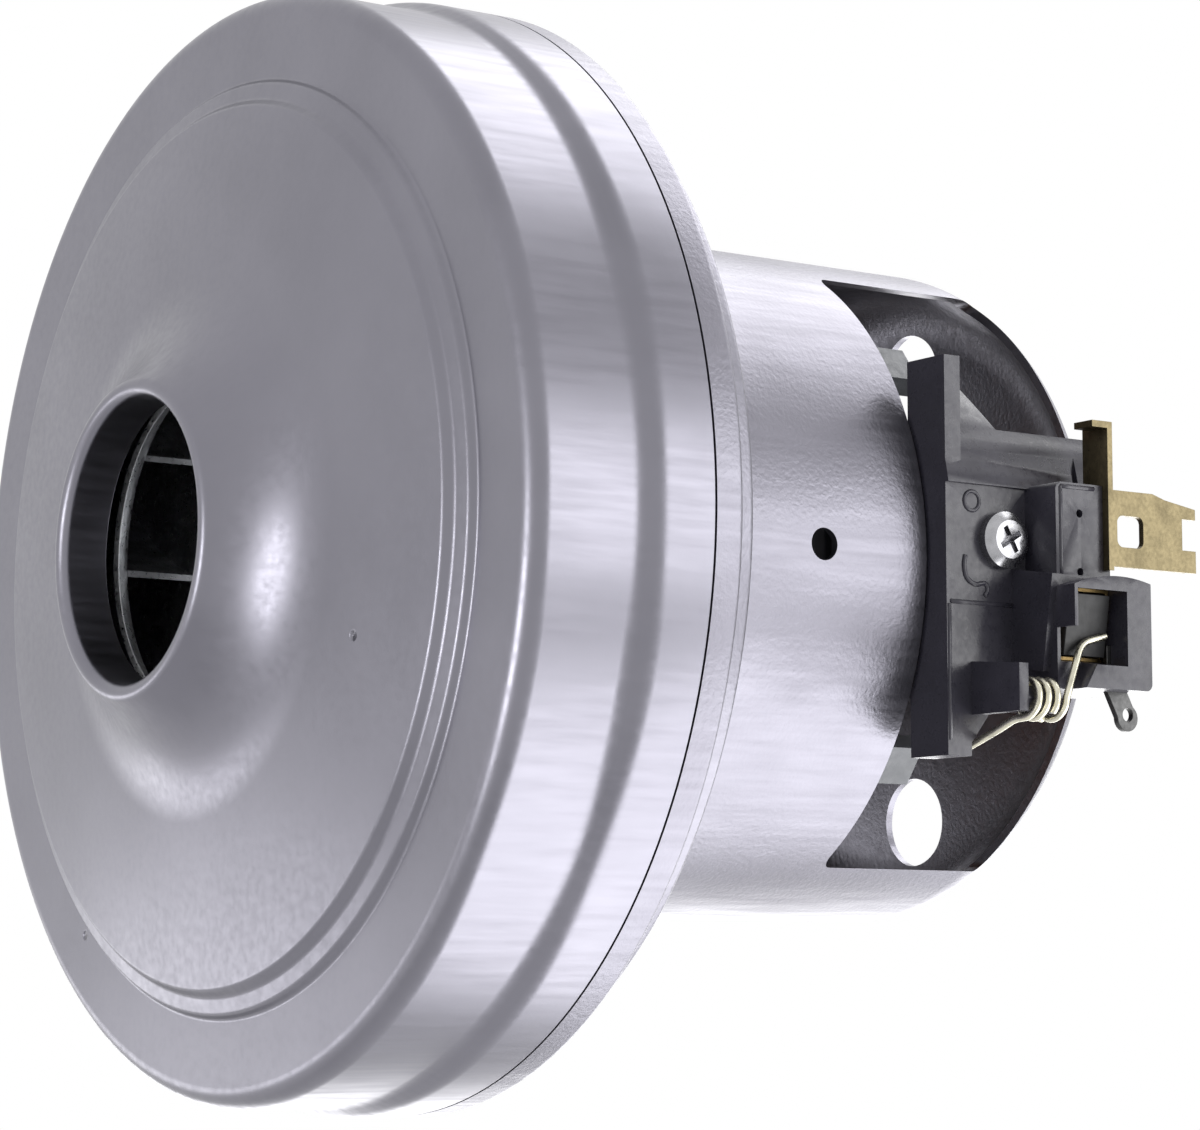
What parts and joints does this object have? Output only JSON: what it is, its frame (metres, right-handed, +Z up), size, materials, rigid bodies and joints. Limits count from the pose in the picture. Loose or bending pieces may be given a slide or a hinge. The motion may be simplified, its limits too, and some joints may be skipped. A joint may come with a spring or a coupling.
{
  "type": "vacuum cleaner motor",
  "caption": "Brushed vacuum cleaner motor with a pressed fan cover and trumpet inlet, a drawn motor housing and spring loaded carbon brushes.",
  "frame": {"origin": "on the motor axis, in the rim plane where the fan cover meets the motor housing", "axes": "+Y along the motor axis from the air inlet to the rear bearing, +Z up, brushes and windows on the X sides"},
  "size_m": [0.132, 0.1228, 0.132],
  "materials": {
    "cover_steel": "drawn sheet, zinc plated",
    "housing_steel": "drawn sheet, zinc plated",
    "bracket_steel": "pressed",
    "screw_steel": "zinc plated",
    "black_plastic": "textured",
    "former_plastic": "moulded",
    "lamination": "laminated",
    "enamelled_wire": "lacquered wire",
    "bearing_steel": "ground",
    "shaft_steel": "ground",
    "hub_resin": "moulded",
    "copper": "turned",
    "impeller_aluminium": "pressed",
    "brass": "pressed",
    "carbon": "carbon",
    "spring_wire": "drawn wire"
  },
  "bodies": {
    "root": {"fan_cover": "cover_steel", "motor_housing": "housing_steel", "bearing_bracket": "bracket_steel", "bracket_screws": "screw_steel", "diffuser": "black_plastic", "stator_core": "lamination", "field_coil_top": "enamelled_wire", "field_coil_bottom": "enamelled_wire", "coil_former_top": "former_plastic", "coil_former_bottom": "former_plastic", "front_bearing_outer": "bearing_steel", "rear_bearing_outer": "bearing_steel", "brush_carrier_near": "black_plastic", "brush_carrier_far": "black_plastic", "brush_guide_near": "brass", "brush_guide_far": "brass", "terminal_near": "brass", "terminal_far": "brass", "solder_tag_near": "brass", "solder_tag_far": "brass", "carrier_screws": "screw_steel", "brush_spring_coil_near": "spring_wire", "brush_spring_coil_far": "spring_wire"},
    "rotor": {"shaft": "shaft_steel", "armature_core": "lamination", "armature_winding": "enamelled_wire", "commutator_hub": "hub_resin", "commutator_bars": "copper", "impeller_front_disc": "impeller_aluminium", "impeller_back_disc": "impeller_aluminium", "impeller_blades": "impeller_aluminium", "fan_spacer": "shaft_steel", "fan_washer": "screw_steel", "fan_nut": "shaft_steel", "front_bearing_inner": "bearing_steel", "rear_bearing_inner": "bearing_steel"},
    "front_balls": {"front_bearing_balls": "bearing_steel"},
    "rear_balls": {"rear_bearing_balls": "bearing_steel"},
    "brush_near": {"carbon_brush_near": "carbon"},
    "brush_far": {"carbon_brush_far": "carbon"},
    "spring_near": {"brush_spring_arm_near": "spring_wire"},
    "spring_far": {"brush_spring_arm_far": "spring_wire"}
  },
  "joints": [
    {"name": "rotor_spin", "type": "hinge", "parent": "root", "child": "rotor", "pos_m": [0, 0, 0], "axis": [0, 1, 0], "continuous": true},
    {"name": "front_balls_spin", "type": "hinge", "parent": "root", "child": "front_balls", "pos_m": [0, 0.0045, 0], "axis": [0, 1, 0], "continuous": true},
    {"name": "rear_balls_spin", "type": "hinge", "parent": "root", "child": "rear_balls", "pos_m": [0, 0.0832, 0], "axis": [0, 1, 0], "continuous": true},
    {"name": "brush_near_slide", "type": "slide", "parent": "root", "child": "brush_near", "axis": [0.9871, 0, -0.1599], "range_m": [0, 0.004], "stiffness_N_per_m": 150, "springref_m": -0.01},
    {"name": "brush_far_slide", "type": "slide", "parent": "root", "child": "brush_far", "axis": [-0.9871, 0, 0.1599], "range_m": [0, 0.004], "stiffness_N_per_m": 150, "springref_m": -0.01},
    {"name": "spring_near_swing", "type": "hinge", "parent": "root", "child": "spring_near", "pos_m": [0.0524, 0.058, -0.0176], "axis": [0, 1, 0], "range_deg": [0, 34.5]},
    {"name": "spring_far_swing", "type": "hinge", "parent": "root", "child": "spring_far", "pos_m": [-0.0524, 0.058, 0.0176], "axis": [0, 1, 0], "range_deg": [0, 34.5]}
  ],
  "couplings": [
    {"joint": "front_balls_spin", "follows": "rotor_spin", "ratio": 0.374},
    {"joint": "rear_balls_spin", "follows": "rotor_spin", "ratio": 0.3754},
    {"joint": "spring_near_swing", "follows": "brush_near_slide", "rad_per_m": 150},
    {"joint": "spring_far_swing", "follows": "brush_far_slide", "rad_per_m": 150}
  ]
}
